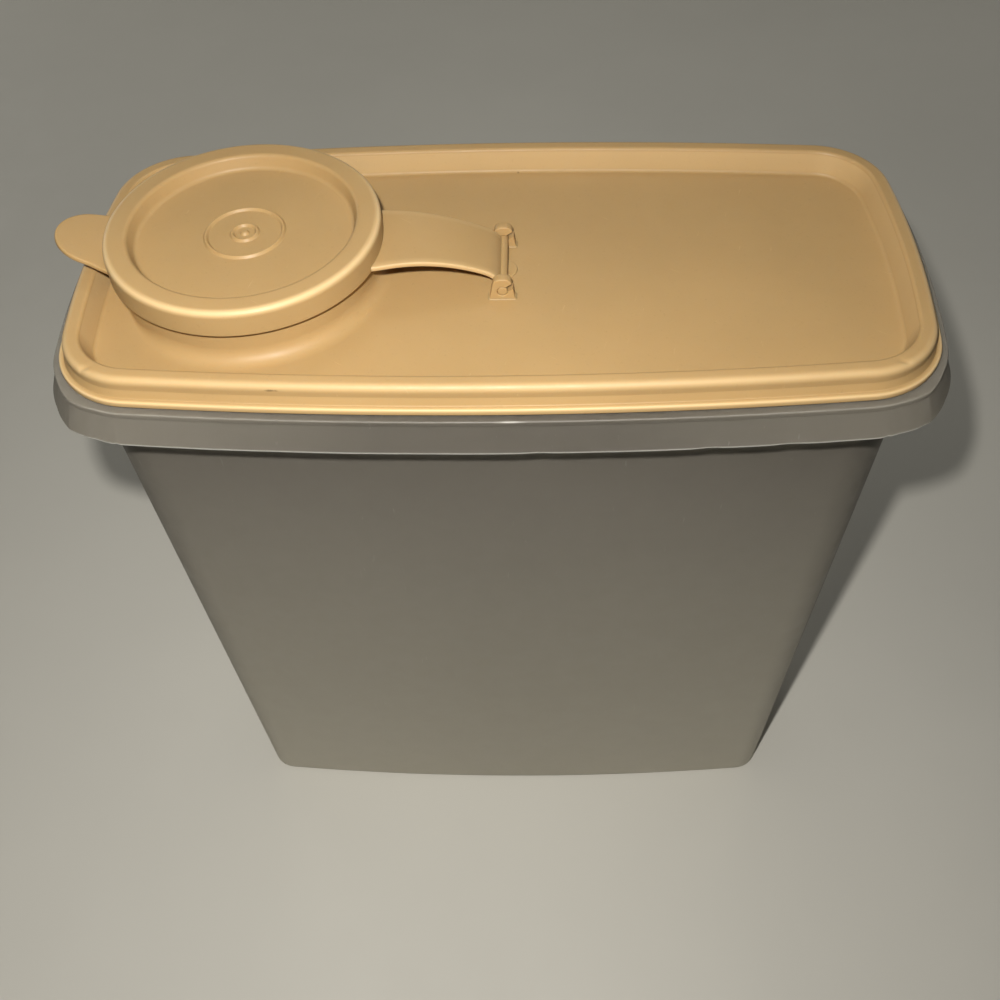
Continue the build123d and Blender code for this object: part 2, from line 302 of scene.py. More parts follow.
class NodeSheet:
    """A new material's node tree, with short ways to add nodes and join them."""

    def __init__(self, name):
        self.material = bpy.data.materials.new(name)
        self.material.use_nodes = True
        self.tree = self.material.node_tree
        self.tree.nodes.clear()
        self.output = self.tree.nodes.new("ShaderNodeOutputMaterial")
        self.place = self.tree.nodes.new("ShaderNodeTexCoord").outputs["Object"]

    def join(self, value, socket):
        """Links a socket's value, or sets a plain one."""
        if isinstance(value, bpy.types.NodeSocket):
            self.tree.links.new(value, socket)
        else:
            socket.default_value = value

    def add(self, kind, settings=None, **inputs):
        """Adds a shader node of that kind, with its settings and its inputs by name."""
        node = self.tree.nodes.new("ShaderNode" + kind)
        for key, value in (settings or {}).items():
            setattr(node, key, value)
        for key, value in inputs.items():
            self.join(value, node.inputs[key.replace("_", " ")])
        return node

    def noise(self, size, detail=3.0, stretch=(1, 1, 1), roughness=0.55, turn=0.0):
        """Noise of about that size in metres, in Object coordinates, drawn out by stretch."""
        turned = self.add(
            "VectorRotate", {"rotation_type": "Z_AXIS"}, Vector=self.place, Angle=turn
        ).outputs[0]
        mapped = self.add("Mapping", Vector=turned, Scale=[1 / (size * s) for s in stretch])
        return self.add(
            "TexNoise", Vector=mapped.outputs[0], Scale=1.0, Detail=detail, Roughness=roughness
        ).outputs["Fac"]

    def ramp(self, value, low, high, out_low=0.0, out_high=1.0):
        """Passes a value from one range to another, and no further."""
        limits = {"From_Min": low, "From_Max": high, "To_Min": out_low, "To_Max": out_high}
        return self.add("MapRange", Value=value, **limits).outputs[0]

    def mix(self, share, first, second):
        """Colour between two others, by a share or at a fixed one."""
        node = self.add("Mix", {"data_type": "RGBA"})
        share_socket, first_socket, second_socket, result = 0, 6, 7, 2
        for index, value in ((share_socket, share), (first_socket, first), (second_socket, second)):
            self.join(value, node.inputs[index])
        return node.outputs[result]

    def combine(self, operation, first, second):
        """Result of a Math node for two values."""
        node = self.add("Math", {"operation": operation})
        self.join(first, node.inputs[0])
        self.join(second, node.inputs[1])
        return node.outputs[0]

    def plus(self, first, second):
        """Sum of two values."""
        return self.combine("ADD", first, second)

    def times(self, first, second):
        """Product of two values."""
        return self.combine("MULTIPLY", first, second)

    def larger(self, first, second):
        """The larger of two values."""
        return self.combine("MAXIMUM", first, second)

    def spot(self, centre, size):
        """1 within a blob of that size each way, falling to 0 outside; noise breaks its edge."""
        fray_size, full, gone = 0.0008, 0.9, 1.5
        scale = [1 / (s * MM) for s in size]
        shift = [-c * MM * s for c, s in zip(centre, scale)]
        mapped = self.add("Mapping", Vector=self.place, Location=shift, Scale=scale)
        away = self.add("VectorMath", {"operation": "LENGTH"}, Vector=mapped.outputs[0])
        reach = self.plus(away.outputs["Value"], self.noise(fray_size, 2.0))
        return self.ramp(reach, full, gone, 1.0, 0.0)

    def cloudy(self, size, value, dark, pale):
        """A colour that drifts between a darker and a paler strength of itself."""
        cloud = self.ramp(self.noise(size, 4.0), 0.35, 0.65)
        return self.mix(cloud, colour(value, dark), colour(value, pale))

    def worn_and_lit(self, tone, strength, pale_colour):
        """The tone, turned to the pale colour by the mesh's marks of scuffing and painted light."""
        marks = self.add("Attribute", {"attribute_name": "wear_and_painted_light"}).outputs["Fac"]
        return self.mix(self.times(marks, strength), tone, pale_colour)

    def relief(self, grain_size, wave_size, marks, rise):
        """Height of a surface: a fine grain on a slow wave, with marks that rise or sink."""
        grain = self.times(self.noise(grain_size, 2.0), 0.25)
        return self.plus(self.plus(grain, self.noise(wave_size, 2.0)), self.times(marks, rise))

    def finish(self, tone, rough, relief, strength=0.3, depth=0.00012, **constants):
        """Joins the tone, roughness and relief to the shader, and gives back the material."""
        bump = self.add("Bump", Strength=strength, Distance=depth, Height=relief).outputs[0]
        shader = self.add(
            "BsdfPrincipled", Base_Color=tone, Roughness=rough, Normal=bump, **constants
        )
        self.join(shader.outputs[0], self.output.inputs["Surface"])
        return self.material


def colour(value, strength=1.0):
    """A colour times a strength, with its alpha."""
    return (*(min(1.0, c * strength) for c in value), 1.0)


def lid_plastic(looks, name):
    """Satin coloured plastic: cloudy tone, fine grain, hairline scratches and paler edges, from
    scuffing and painted light.
    """
    cloud_size, speck_size, grain_size, wave_size, gloss_size = 0.05, 0.0009, 0.00045, 0.014, 0.006
    sheet = NodeSheet(name)
    base, rubbed_and_lit = looks.lid_colour, colour(looks.lid_wear_and_light_colour)
    tone = sheet.cloudy(cloud_size, base, 0.965, 1.03)
    speck = sheet.ramp(sheet.noise(speck_size, 2.0), 0.63, 0.74)
    tone = sheet.mix(sheet.times(speck, 0.18), tone, colour(base, 0.62))
    # Edges paler from wear, and from painted highlight and bounce light, by the mesh's marks
    tone = sheet.worn_and_lit(tone, looks.edge_wear_and_light, rubbed_and_lit)
    # Two families of hairlines, each a noise drawn out one way
    along = sheet.ramp(sheet.noise(0.0007, 3.0, (14, 1, 4), turn=0.6), 0.7, 0.76)
    across = sheet.ramp(sheet.noise(0.0008, 3.0, (1.3, 10, 4), turn=0.25), 0.71, 0.77)
    scratches = sheet.larger(along, across)
    tone = sheet.mix(sheet.times(scratches, 0.1), tone, rubbed_and_lit)
    for centre, size in LID_MARKS:
        tone = sheet.mix(sheet.times(sheet.spot(centre, size), 0.75), tone, colour(base, 0.3))
    relief = sheet.relief(grain_size, wave_size, scratches, -0.35)
    gloss = looks.lid_gloss
    rough = sheet.ramp(sheet.noise(gloss_size, 4.0), 0.3, 0.7, gloss - 0.05, gloss + 0.07)
    return sheet.finish(
        tone,
        rough,
        relief,
        IOR=1.5,
        Specular_IOR_Level=0.32,
        Subsurface_Weight=0.22,
        Subsurface_Radius=(1.0, 0.62, 0.3),
        Subsurface_Scale=0.0025,
    )


def container_plastic(looks, name):
    """Milky plastic: cloudy grey, with light coming through painted on as a paler tone, and faint
    upright scuffs.
    """
    cloud_size, scuff_size, grain_size, wave_size, gloss_size = 0.06, 0.0009, 0.0005, 0.02, 0.008
    sheet = NodeSheet(name)
    rubbed_and_lit = colour(looks.container_edge_colour)
    tone = sheet.cloudy(cloud_size, looks.container_colour, 0.95, 1.05)
    place = sheet.add("SeparateXYZ", Vector=sheet.place).outputs
    height = place["Z"]
    aside = sheet.add("Math", {"operation": "ABSOLUTE"}, Value=place["X"]).outputs[0]
    # Painted light: paler towards the base, less so in its middle, and towards the skirt's ends
    foot = sheet.ramp(height, 0.0, 0.24, 1.0, 0.0)
    foot = sheet.times(foot, sheet.ramp(aside, 0.01, 0.09, 0.9, 1.0))
    skirt = sheet.ramp(height, *PALE_SKIRT)
    ends = sheet.times(sheet.ramp(aside, 0.03, 0.11, 0.05, 0.23), skirt)
    # Painted light: paler at the wall's corners, which lean outwards with height, and painted fill
    # light in the skirt's shadow
    corner = sheet.plus(aside, sheet.times(height, -WALL_LEAN))
    corner = sheet.ramp(corner, *PAINTED_CORNER_LIGHT, 0.0, 0.38)
    shadow_fill = sheet.ramp(height, *PAINTED_SHADOW_FILL, 0.0, 0.7)
    body = sheet.times(sheet.larger(corner, shadow_fill), sheet.combine("SUBTRACT", 1.0, skirt))
    pale = sheet.larger(sheet.larger(foot, ends), body)
    tone = sheet.mix(pale, tone, colour(looks.container_painted_light_colour))
    scuff = sheet.ramp(sheet.noise(scuff_size, 3.0, (1.5, 1.5, 12)), 0.7, 0.78)
    tone = sheet.mix(sheet.times(scuff, 0.05), tone, rubbed_and_lit)
    # Edges paler from wear, and from painted edge light and glint, by the mesh's marks
    tone = sheet.worn_and_lit(tone, looks.edge_wear_and_light, rubbed_and_lit)
    relief = sheet.relief(grain_size, wave_size, scuff, 0.1)
    gloss = looks.container_gloss
    rough = sheet.ramp(sheet.noise(gloss_size, 4.0), 0.3, 0.7, gloss - 0.05, gloss + 0.08)
    return sheet.finish(
        tone,
        rough,
        relief,
        IOR=1.45,
        Specular_IOR_Level=0.3,
        Subsurface_Weight=0.85,
        Subsurface_Radius=(1.0, 0.97, 0.9),
        Subsurface_Scale=0.006,
    )


def floor_surface(looks, name):
    """Pale matt board with a faint mottle."""
    cloud_size, gloss_size, grain_size = 0.25, 0.02, 0.002
    sheet = NodeSheet(name)
    tone = sheet.cloudy(cloud_size, looks.floor_colour, 0.97, 1.02)
    rough = sheet.ramp(sheet.noise(gloss_size), 0.3, 0.7, 0.55, 0.68)
    return sheet.finish(tone, rough, sheet.noise(grain_size), strength=0.1, depth=0.0002)


# Shapes


def centre_rows(profile_inset, height, shares):
    """Rows of a flat floor: the outline at an inset, drawn in towards the middle by each share."""
    ring = ring_rows(np.array([[-profile_inset, height]]))[0]
    middle = np.array([0.0, 0.0, height])
    return middle + (ring - middle) * np.asarray(shares)[:, None, None]


def skirt_foot_lift(deepest):
    """How far the skirt's foot rises at each point of the outline.

    It is a slight waver, which is a sum of sines of the way round, plus small nicks, each a bell
    curve of it.
    """
    draw = np.random.default_rng(NICK_SEED)
    way = np.arange(AROUND)
    waver = sum(
        draw.uniform(0.2, 1.0) * np.sin(2 * math.pi * (k * way / AROUND + draw.uniform()))
        for k in WAVER_PARTS
    )
    places = draw.uniform(0, AROUND, NICKS)
    depths = draw.uniform(NICK_LEAST, deepest, NICKS)
    widths = draw.uniform(*NICK_WIDTHS, NICKS)
    apart = np.abs(way[None] - places[:, None])
    apart = np.minimum(apart, AROUND - apart)
    return WAVER * waver + (depths[:, None] * bell(apart / widths[:, None])).max(0)


def container_shape(sizes):
    """The container as one closed surface, whose profile is carried round the outline.

    It runs from the base up the wall, round the skirt, the ledge and the upstand, and down the
    inside to the inner floor.
    """
    profile = rounded(
        [
            (-BASE_INSET - 1.6, 0.0, 0),
            (-BASE_INSET, 0.0, 1.3),
            (-BODY_INSET, LEDGE_BOTTOM, 0.9),
            (-LEDGE_INSET - SKIRT_WALL, LEDGE_BOTTOM, 0.8),
            (-SKIRT_INSET - SKIRT_WALL, SKIRT_BOTTOM, 0.45),
            (-SKIRT_INSET, SKIRT_BOTTOM, 0.5),
            (-LEDGE_INSET, LEDGE_BOTTOM, 0.6),
            (-LEDGE_INSET, LEDGE_TOP, 0.4),
            (-UPSTAND_INSET, LEDGE_TOP, 0.35),
            (-UPSTAND_INSET, UPSTAND_TOP, 0.55),
            (-UPSTAND_INSET - UPSTAND_WALL, UPSTAND_TOP, 0.55),
            (-UPSTAND_INSET - UPSTAND_WALL, LEDGE_TOP, 0.5),
            (-MOUTH_INSET, LEDGE_TOP, 0.5),
            (-CAVITY_INSET, FLOOR_TOP, 2.0),
            (-CAVITY_INSET - 2.4, FLOOR_TOP, 0),
        ]
    )
    rows = ring_rows(profile)
    outward, height = profile[:, 0], profile[:, 1]
    foot = 1 - smooth_step(SKIRT_BOTTOM, SKIRT_BOTTOM + FOOT_EASE, height)
    foot *= outward > -LEDGE_INSET
    rows[..., 2] += foot[:, None] * skirt_foot_lift(sizes.nick_depth / MM)[None]
    # At each corner the ledge and the skirt are drawn out to a crease, evenly from both sides
    turn = np.arctan2(np.abs(NORMALS[:, 1]), np.abs(NORMALS[:, 0]))
    away = np.abs(turn - math.radians(CREASE_TURN)) / CREASE_SPREAD
    crease = CREASE_RISE * np.maximum(0, 1 - away)
    share = smooth_step(0.0, -LEDGE_INSET, outward)[:, None, None]
    rows[..., :2] += share * crease[None, :, None] * NORMALS[None]
    # Wear and painted edge light are marked along the ledge's edge and the skirt's foot, less round
    # the ends
    ledge_edge = bell(
        (outward + LEDGE_INSET) / LEDGE_MARK_WIDTH, (height - LEDGE_TOP) / LEDGE_MARK_WIDTH
    )
    skirt_edge = smooth_step(SKIRT_BOTTOM + 0.8, SKIRT_BOTTOM + 0.35, height) * (outward > 0)
    sides = 0.15 + 0.85 * smooth_step(0.75, 0.97, np.abs(NORMALS[:, 1]))
    # Painted highlight: a glint on the ledge's front edge, where the key light reflects
    painted_glint = PAINTED_GLINT_STRENGTH * bell((POINTS[:, 0] - GLINT_X) / GLINT_LENGTH) * (NORMALS[:, 1] < 0)
    mark = ledge_edge[:, None] * (LEDGE_WEAR_AND_LIGHT * sides + painted_glint)
    mark = np.clip(mark + skirt_edge[:, None] * np.sqrt(sides), 0, 1)
    base = centre_rows(BASE_INSET + 1.6, 0.0, np.linspace(0, 1, 8)[:-1])
    inner = centre_rows(CAVITY_INSET + 2.4, FLOOR_TOP, np.linspace(1, 0, 8)[1:])
    whole = np.concatenate([base, rows, inner])
    marks = np.concatenate([np.zeros(base.shape[:2]), mark, np.zeros(inner.shape[:2])])
    shape = Shape()
    shape.surface(whole, mark=marks)
    return shape


def spout_radius(height):
    """Outer radius of the spout, which tapers upwards."""
    return SPOUT_RADIUS - (height - PANEL_BOTTOM) * math.tan(math.radians(SPOUT_DRAFT))


def lid_shape(sizes):
    """The lid's shell as one surface closed both ways, then its ears and pad.

    It runs from the lip over the rim and down to the panel, passes evenly from the outline to the
    spout's circle, goes up and over the spout's mouth, and comes back underneath.
    """
    outer = rounded(
        [
            (-1.0, LIP_BOTTOM, 0),
            (0.0, LIP_BOTTOM, 0.3),
            (0.0, LIP_TOP, 0.7),
            (-WALL_FOOT, LIP_TOP, 0.4),
            (-WALL_INSET, LIP_TOP + 2.2, 1.5),
            (-WALL_INSET, RIM_TOP, 2.0),
            (-RECESS_INSET, RIM_TOP, 1.1),
            (-RECESS_FOOT, PANEL_TOP, 1.2),
            (-RECESS_FOOT - 1.6, PANEL_TOP, 0),
        ],
        steps=8,
    )
    root = spout_radius(PANEL_TOP)
    mouth = spout_radius(SPOUT_TOP)
    foot = spout_radius(PANEL_BOTTOM) - SPOUT_WALL
    tight, wide = (
        rounded(
            [
                (root + round_foot + 0.7, PANEL_TOP, 0),
                (root, PANEL_TOP, round_foot),
                (mouth, SPOUT_TOP, 0.4),
                (mouth - SPOUT_WALL, SPOUT_TOP, 0.4),
                (foot, PANEL_BOTTOM, 0.4),
                (foot + 1.2, PANEL_BOTTOM, 0),
            ]
        )
        for round_foot in (FILLET_TIGHT, FILLET_WIDE)
    )
    under = rounded(
        [
            (-PLUG_FOOT - 1.4, PANEL_BOTTOM, 0),
            (-PLUG_FOOT, PANEL_BOTTOM, 0.7),
            (-CHANNEL_INNER, CHANNEL_TOP, 0.5),
            (-CHANNEL_OUTER, CHANNEL_TOP, 0.5),
            (-CHANNEL_OUTER, LIP_BOTTOM, 0.3),
            (-2.0, LIP_BOTTOM, 0),
        ],
        steps=5,
    )
    top_rows, under_rows = ring_rows(outer), ring_rows(under)
    last = top_rows[-1]
    # The spout's points are in line with the outline's, and its fillet is wide where it has room
    angles = np.arctan2(last[:, 1], last[:, 0] - SPOUT_X)
    room = smooth_step(-0.9, -0.5, np.cos(angles))[None, :, None]
    tight, wide = (turned_rows(profile, angles[None]) for profile in (tight, wide))
    spout_rows = tight + (wide - tight) * room
    shares = [0.03, 0.2, 0.4, 0.6, 0.8, 0.97]
    panel = between_rows(last, spout_rows[0], shares)
    below = between_rows(spout_rows[-1], under_rows[0], [0.03, 0.5, 0.97])
    rows = np.concatenate([top_rows, panel, spout_rows, below, under_rows])
    # Wear and a painted highlight are marked on the rim's outer round, wear on the lip's edge, and
    # a little painted bounce light on the recess's wall
    outward, height = outer[:, 0], outer[:, 1]
    rim = bell((outward + WALL_INSET + 0.5) / 1.1, (height - RIM_TOP + 0.5) / 1.1)
    lip = bell((outward + 0.2) / 0.5, (height - LIP_TOP + 0.2) / 0.7)
    wall = (outward < -RECESS_INSET - 0.3) * smooth_step(PANEL_TOP + 0.4, PANEL_TOP + 1.6, height)
    wear_and_painted_light = np.clip(RIM_WEAR_AND_HIGHLIGHT * rim + LIP_WEAR * lip + RECESS_BOUNCE_LIGHT * wall, 0, 1)
    mark = np.zeros(rows.shape[:2])
    mark[: len(outer)] = wear_and_painted_light[:, None]
    # A dent on each of the rim's near corners, a bell curve in depth, longer along X than Y
    for x, y, share in RIM_DENTS:
        depth = share * sizes.rim_dent / MM
        away = (rows[..., 0] - x) / DENT_LENGTH, (rows[..., 1] - y) / DENT_WIDTH
        rows[..., 2] -= depth * bell(*away) * (rows[..., 2] > DENT_ABOVE)
    shape = Shape()
    shape.surface(rows, close_rows=True, mark=mark)
    for near, far in ((EAR_INNER, EAR_OUTER), (-EAR_OUTER, -EAR_INNER)):
        shape.tube(ear_rows(near, far))
        shape.surface(ear_foot_rows(near, far), close_rows=True)
    pad = rounded(
        [
            (0.0, PANEL_TOP + PAD_HEIGHT, 0),
            (PAD_RADIUS, PANEL_TOP + PAD_HEIGHT, 0.25),
            (PAD_RADIUS + 0.15, PANEL_TOP, 0),
            (PAD_RADIUS + 0.15, PANEL_TOP - 0.5, 0),
            (0.0, PANEL_TOP - 0.5, 0),
        ]
    )
    shape.surface(turned_rows(pad, np.linspace(0, 2 * math.pi, 73)[None, :-1], HINGE_X))
    return shape


def ear_rows(near, far):
    """A hinge ear's surface: a section carried round the rod's hole, from one side of the slot to
    the other.

    The section is a rectangle with eased corners, from the hole to the ear's outline and from one
    face to the other. The outline is a narrowing post with a rounded head, and is read as a
    function of the direction from the hole's centre.
    """
    foot = PANEL_TOP - 0.6
    lean = (EAR_FOOT - EAR_HEAD) / 2 / (EAR_TOP - PANEL_TOP)
    half_foot, half_head = EAR_FOOT / 2, EAR_FOOT / 2 - lean * (EAR_TOP - foot)
    corners = [
        (half_foot, foot, 0),
        (half_head, EAR_TOP, EAR_CORNER),
        (-half_head, EAR_TOP, EAR_CORNER),
        (-half_foot, foot, 0),
        (half_foot, foot, 0),
    ]
    post = rounded(corners, steps=40, longest=0.4) - [0, HINGE_Z]
    slot = math.radians(SLOT_ANGLE)
    turn = (slot - np.arctan2(post[:, 1], post[:, 0])) % (2 * math.pi)
    order = np.argsort(turn)
    turn, post = turn[order], post[order]
    hole, head = ROD + ROD_FIT, np.linalg.norm(post[0])
    inner, outer = (
        np.linspace(spread, 2 * math.pi - spread, 90)
        for spread in (math.asin(SLOT_THROAT / 2 / hole), math.asin(SLOT_MOUTH / 2 / head))
    )
    start = hole * np.stack([np.cos(slot - inner), np.sin(slot - inner)], 1)
    end = np.stack([np.interp(outer, turn, post[:, k]) for k in (0, 1)], 1)
    length = np.linalg.norm(end - start, axis=1)[:, None]
    out = (end - start) / length
    # Each corner of the section is a quarter circle, with one more point close by on the flat faces
    edge, face, points = EAR_EDGE, EAR_EDGE + 0.12, 5
    quarter = np.linspace(0, math.pi / 2, points)
    angle = np.concatenate([quarter + k * math.pi / 2 for k in (2, 3, 0, 1)])
    share = np.repeat([0, 1, 1, 0], points)
    reach = edge * (np.repeat([1, -1, -1, 1], points) + np.cos(angle))
    y = np.repeat([near + edge, near + edge, far - edge, far - edge], points)
    y = y + edge * np.sin(angle)
    seams = [points, points, 3 * points, 3 * points]
    share = np.insert(share, seams, [0, 1, 1, 0])[:, None, None]
    reach = np.insert(reach, seams, [face, -face, -face, face])[:, None, None]
    y = np.insert(y, seams, [near, near, far, far])
    flat = start + out * (reach + share * length)
    across = np.broadcast_to(y[:, None], flat.shape[:2])
    return np.stack([HINGE_X + flat[..., 0], across, HINGE_Z + flat[..., 1]], 2)


def ear_foot_rows(near, far):
    """The hollow fillet round an ear's foot: a quarter arc carried round a rounded rectangle."""
    turn, sunk = np.linspace(0, math.pi / 2, 7), -0.3
    hollow = EAR_FILLET * np.stack([1 - np.sin(turn), 1 - np.cos(turn)], 1)
    rest = np.array([[sunk, EAR_FILLET], [sunk, sunk], [EAR_FILLET, sunk]])
    profile = np.concatenate([hollow, rest])
    around = np.concatenate([np.linspace(0, math.pi / 2, 5) + k * math.pi / 2 for k in range(4)])
    normals = np.stack([np.cos(around), np.sin(around)], 1)
    signs = np.repeat([[1, 1], [-1, 1], [-1, -1], [1, -1]], 5, axis=0)
    half = np.array([EAR_FOOT / 2, (far - near) / 2]) - EAR_EDGE
    plan = [HINGE_X, (near + far) / 2] + signs * half + normals * EAR_EDGE
    plan = plan + normals * profile[:, :1, None]
    height = np.broadcast_to(PANEL_TOP + profile[:, 1:], plan.shape[:2])
    return np.concatenate([plan, height[..., None]], 2)


def tangent_arc(start, heading, end, steps):
    """Points of the arc that leaves start along heading and ends at end, after its first point.

    It also gives the heading at the arc's end.
    """
    side = np.array([-heading[1], heading[0]])
    chord = end - start
    radius = chord @ chord / (2 * (chord @ side))
    centre = start + side * radius
    arc, sweep = arc_points(centre, start, end, steps)
    last = end - centre
    final = np.array([-last[1], last[0]]) * np.sign(sweep)
    return arc[1:], final / np.linalg.norm(final)


def strap_path():
    """Side view (x, z) of the strap's middle line: level, a short rise, the arch and the knee."""
    middle = SEAL_BOTTOM + PLATE / 2
    wall = SEAL_RADIUS - SEAL_WALL / 2
    root = np.array([SPOUT_X + math.sqrt(wall**2 - STRAP_SEAL**2) - SEAL_WALL, middle])
    start = np.array([SPOUT_X + SEAL_RADIUS - SEAL_WALL, middle])
    turn = np.linspace(0, math.radians(RISE_ANGLE), 5)[1:, None]
    rise = start + RISE_RADIUS * np.concatenate([np.sin(turn), 1 - np.cos(turn)], 1)
    heading = np.array([math.cos(math.radians(RISE_ANGLE)), math.sin(math.radians(RISE_ANGLE))])
    top = np.array([HINGE_X - KNEE_RUN, HINGE_Z + KNEE_RISE])
    arch, heading = tangent_arc(rise[-1], heading, top, 40)
    knee, _ = tangent_arc(arch[-1], heading, np.array([HINGE_X - 0.6, HINGE_Z - 0.3]), 14)
    level = root + (start - root) * np.linspace(0, 1, 8)[:, None]
    return np.concatenate([level, rise, arch, knee])


def strap_half_width(x):
    """Half width of the strap at x: an arc through its widths at the seal, middle and neck."""
    wall = SEAL_RADIUS - SEAL_WALL / 2
    low = SPOUT_X + math.sqrt(wall**2 - STRAP_SEAL**2)
    low, high = low - SEAL_WALL, HINGE_X - NECK_LENGTH
    across = np.array([[low, STRAP_SEAL], [(low + high) / 2, STRAP_MIDDLE], [high, STRAP_NECK]])
    matrix = np.concatenate([2 * across, np.ones((3, 1))], 1)
    cx, cy, rest = np.linalg.solve(matrix, (across**2).sum(1))
    radius = math.sqrt(rest + cx**2 + cy**2)
    x = np.clip(x, low, high)
    return cy - np.sqrt(radius**2 - (x - cx) ** 2)


def plate_section(edge, flat=13, steps=5):
    """Section of a plate with rounded long edges, as (share of the width, extra width, height)."""
    half = PLATE / 2
    share = np.linspace(1, -1, flat)
    turn = np.linspace(math.pi / 2, -math.pi / 2, 2 * steps)
    side = edge * np.cos(turn)
    rise = np.sign(np.sin(turn)) * (half - edge) + edge * np.sin(turn)
    top = np.stack([share, 0 * share, 0 * share + half], 1)
    left = np.stack([0 * turn - 1, -side, rise], 1)
    right = np.stack([0 * turn + 1, side, -rise], 1)
    return np.concatenate([top[:-1], left, -top[::-1][1:-1] * [-1, 1, 1], right])


def strap_rows(edge):
    """The strap's surface: its section carried along the path, from the seal's round wall on.

    A point lies at a length along the path that starts where the wall's circle is at its own y, so
    the strap's end fits the seal.
    """
    path = strap_path()
    steps = np.linalg.norm(np.diff(path, axis=0), axis=1)
    length = np.concatenate([[0], np.cumsum(steps)])
    section = plate_section(edge)
    share, extra, rise = section.T
    wall = SEAL_RADIUS - SEAL_WALL / 2
    at = np.concatenate([np.linspace(0, 0.86, 48), np.linspace(0.87, 1.0, 20)])[:, None]
    y = share * (STRAP_SEAL - edge) + extra
    for _ in range(3):
        begin = np.sqrt(wall**2 - y**2) + SPOUT_X - path[0, 0]
        place = begin + (length[-1] - begin) * at
        x = np.interp(place, length, path[:, 0])
        y = share * (strap_half_width(x) - edge) + extra
    z = np.interp(place, length, path[:, 1])
    slope = np.gradient(path, axis=0)
    slope /= np.linalg.norm(slope, axis=1)[:, None]
    head_x, head_z = (np.interp(place, length, slope[:, k]) for k in (0, 1))
    return np.stack([x - head_z * rise, y, z + head_x * rise], 2)


def tab_rows(edge):
    """The lifting tab's surface, from the seal's round wall to the tab's rounded tip.

    For each point of the tab's edge, a section runs from the wall out to the edge, round it and
    back underneath. Beyond the wall the plate slopes up evenly, after a short bend.
    """
    wall = SEAL_RADIUS - SEAL_WALL / 2
    tip_x = SPOUT_X - SEAL_RADIUS - TAB_REACH
    centre = np.array([tip_x + TAB_TIP, 0.0])
    root = np.array([SPOUT_X - math.sqrt(wall**2 - TAB_ROOT**2), TAB_ROOT])
    turn = np.radians(np.linspace(TAB_SIDE_ANGLE, 180, 40))
    arc = centre + TAB_TIP * np.stack([np.cos(turn), np.sin(turn)], 1)
    heading = np.array([math.sin(turn[0]), -math.cos(turn[0])])
    flank, _ = tangent_arc(arc[0], heading, root, 24)
    half = np.concatenate([flank[::-1], arc])
    border = np.concatenate([half, half[-2::-1] * [1, -1]])
    along = np.gradient(border, axis=0)
    outward = np.stack([-along[:, 1], along[:, 0]], 1)
    outward /= np.linalg.norm(outward, axis=1)[:, None]
    outward *= np.sign(np.sum(outward * (border - centre), 1).mean())
    angle = np.linspace(root[1], -root[1], len(border)) / wall
    start = np.stack([SPOUT_X - wall * np.cos(angle), wall * np.sin(angle)], 1)
    inner = border - outward * edge
    run, bend_steps, half_plate = 12, 11, PLATE / 2
    turn = np.linspace(math.pi / 2, -math.pi / 2, bend_steps)
    depth = edge * np.cos(turn)
    rise = np.sin(turn) * edge + np.sign(np.sin(turn)) * (half_plate - edge)
    out, back = np.linspace(0, 1, run + 1)[:-1], np.linspace(1, 0, run + 1)[1:]
    shares = np.concatenate([out, np.ones(bend_steps), back])
    extra = np.concatenate([np.zeros(run), depth, np.zeros(run)])
    height = np.concatenate([np.full(run, half_plate), rise, np.full(run, -half_plate)])
    plan = start + (inner - start) * shares[:, None, None] + outward * extra[:, None, None]
    bend, soft = SPOUT_X - SEAL_RADIUS, 1.5
    beyond = bend - plan[..., 0]
    ramp = (beyond + np.sqrt(beyond**2 + soft**2)) / 2
    slope = math.radians(TAB_SLOPE)
    steep = slope * smooth_step(-soft, soft, beyond)
    x = plan[..., 0] + np.sin(steep) * height[:, None]
    z = SEAL_BOTTOM + PLATE / 2 + ramp * math.tan(slope) + np.cos(steep) * height[:, None]
    return np.stack([x, plan[..., 1], z], 2)


def raised_corners(radius):
    """Profile corners of a low ring on the seal's disc, with sloping flanks and a level top."""
    top = SEAL_FLOOR + DISC_RISE
    return [
        (radius - RING_FOOT, SEAL_FLOOR, 0.25),
        (radius - RING_TOP, top, 0.35),
        (radius + RING_TOP, top, 0.35),
        (radius + RING_FOOT, SEAL_FLOOR, 0.25),
    ]


